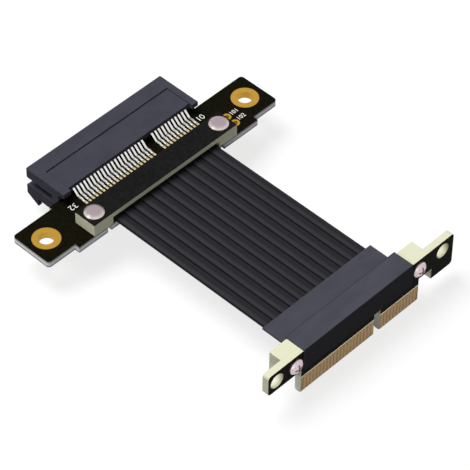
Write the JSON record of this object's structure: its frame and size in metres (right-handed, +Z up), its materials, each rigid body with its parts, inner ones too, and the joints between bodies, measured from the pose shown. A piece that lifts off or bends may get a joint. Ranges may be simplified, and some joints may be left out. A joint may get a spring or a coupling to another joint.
{
  "type": "card-edge extension cable",
  "caption": "Short flat riser extension: open-ended card-edge slot on a flat board, parallel flat cables, and an upright male card edge with mounting ears.",
  "frame": {"origin": "midway between the female board's two mounting holes, on the board's top face", "axes": "+Z up out of the female board's top face; +Y along the cables from the male end to the mouth of the slot; +X along both boards, towards contact 1"},
  "size_m": [0.068, 0.0781, 0.0131],
  "materials": {
    "board_black": "black solder mask over glass-epoxy laminate, pale layered edges",
    "gold_plating": "gold plated copper, satin",
    "housing_plastic": "dark grey moulded glass-filled plastic, matt",
    "contact_tin": "bright tinned contact strip",
    "cable_jacket": "black satin cable jacket",
    "bare_copper": "tinned copper cores",
    "fastener_steel": "nickel plated steel, bright",
    "laminate_cream": "bare glass-epoxy laminate, cream"
  },
  "bodies": {
    "root": {"cable_cover": "housing_plastic", "clamp_bar": "board_black", "contact_pads_bottom": "gold_plating", "contact_pads_top": "gold_plating", "contacts_bottom": "contact_tin", "contacts_top": "contact_tin", "female_board": "board_black", "female_wire_ends": "bare_copper", "female_wire_pads": "gold_plating", "fingers_front": "gold_plating", "fingers_rear": "gold_plating", "flat_cable_01": "cable_jacket", "flat_cable_02": "cable_jacket", "flat_cable_03": "cable_jacket", "flat_cable_04": "cable_jacket", "flat_cable_05": "cable_jacket", "flat_cable_06": "cable_jacket", "flat_cable_07": "cable_jacket", "flat_cable_08": "cable_jacket", "flat_cable_09": "cable_jacket", "flat_cable_10": "cable_jacket", "flat_cable_11": "cable_jacket", "flat_cable_12": "cable_jacket", "male_board": "board_black", "male_wire_ends": "bare_copper", "male_wire_pads": "gold_plating", "mounting_hole_plating": "gold_plating", "rivets": "fastener_steel", "screws": "fastener_steel", "slot_housing": "housing_plastic", "spacer_left": "laminate_cream", "spacer_right": "laminate_cream", "test_point_plating": "gold_plating"}
  },
  "joints": []
}
